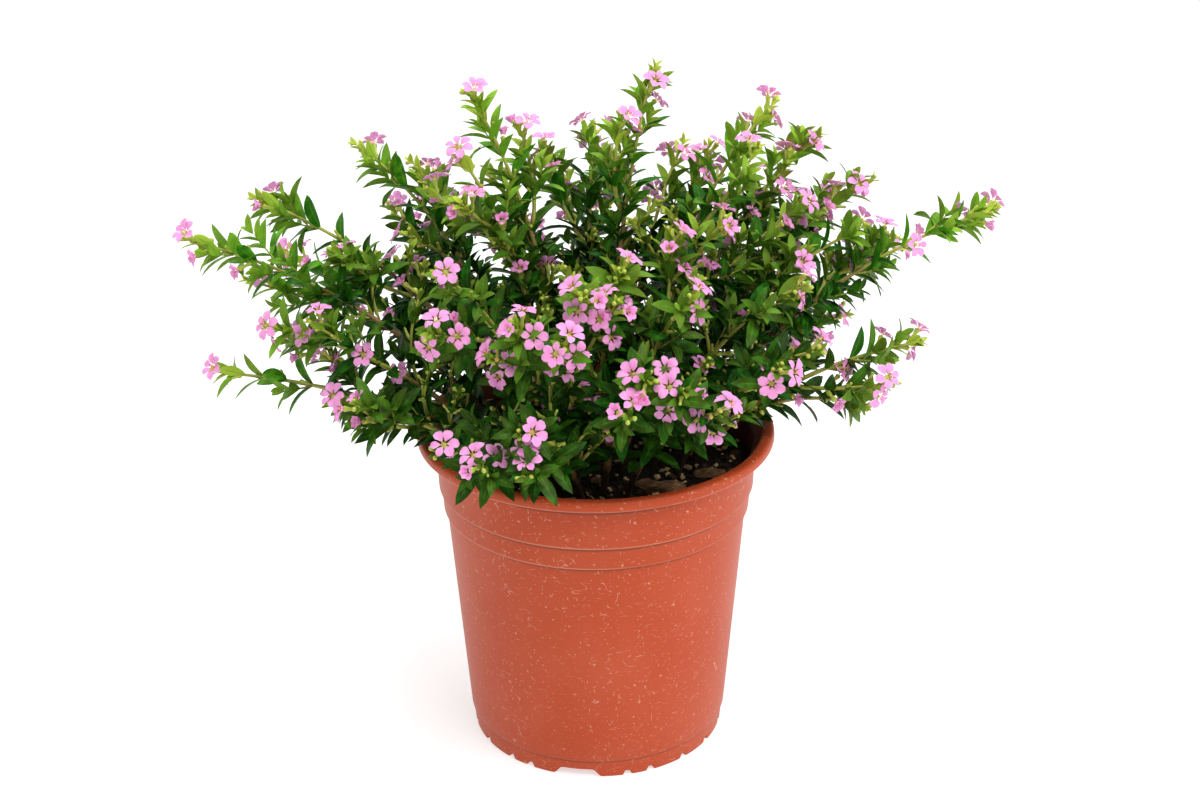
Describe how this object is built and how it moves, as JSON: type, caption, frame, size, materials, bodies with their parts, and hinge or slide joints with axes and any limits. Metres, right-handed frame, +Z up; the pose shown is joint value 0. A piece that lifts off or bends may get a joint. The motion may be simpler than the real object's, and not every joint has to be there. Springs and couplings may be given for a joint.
{
  "type": "potted false heather",
  "caption": "Flowering false heather with narrow leaves and six-petalled mauve blooms, growing in a round plastic nursery pot.",
  "frame": {"origin": "on the pot's axis, at the surface that the pot stands on", "axes": "+Z up along the pot's axis, +X along the plant's widest spread, -Y towards the side that the picture shows"},
  "size_m": [0.3302, 0.2316, 0.2866],
  "materials": {
    "pot": "terracotta coloured moulded plastic with a soft sheen and fine pale scuffs",
    "soil": "dark crumbly peat with tan grit",
    "bark": "fibrous dark brown bark",
    "foliage": "glossy dark green leaves, yellow-green at the shoot tips, on reddish brown stems",
    "petal": "soft mauve pink petals with darker veins round a yellow throat"
  },
  "bodies": {
    "root": {"pot": "pot", "soil": "soil", "bark_chip_1": "bark", "bark_chip_2": "bark", "bark_chip_3": "bark", "cane_01": "foliage", "cane_02": "foliage", "cane_03": "foliage", "cane_04": "foliage", "cane_05": "foliage", "cane_06": "foliage", "cane_07": "foliage", "cane_08": "foliage", "cane_09": "foliage", "cane_10": "foliage", "cane_11": "foliage", "cane_12": "foliage", "cane_13": "foliage", "cane_14": "foliage", "cane_15": "foliage", "cane_16": "foliage", "cane_17": "foliage", "cane_18": "foliage", "cane_19": "foliage", "cane_20": "foliage", "cane_21": "foliage", "cane_22": "foliage", "cane_23": "foliage", "cane_24": "foliage", "cane_25": "foliage", "cane_26": "foliage", "cane_27": "foliage", "cane_28": "foliage", "cane_29": "foliage", "cane_30": "foliage", "cane_31": "foliage", "cane_32": "foliage", "cane_33": "foliage", "cane_34": "foliage", "cane_35": "foliage", "cane_36": "foliage", "cane_37": "foliage", "cane_38": "foliage", "cane_39": "foliage", "cane_40": "foliage"}
  },
  "joints": []
}
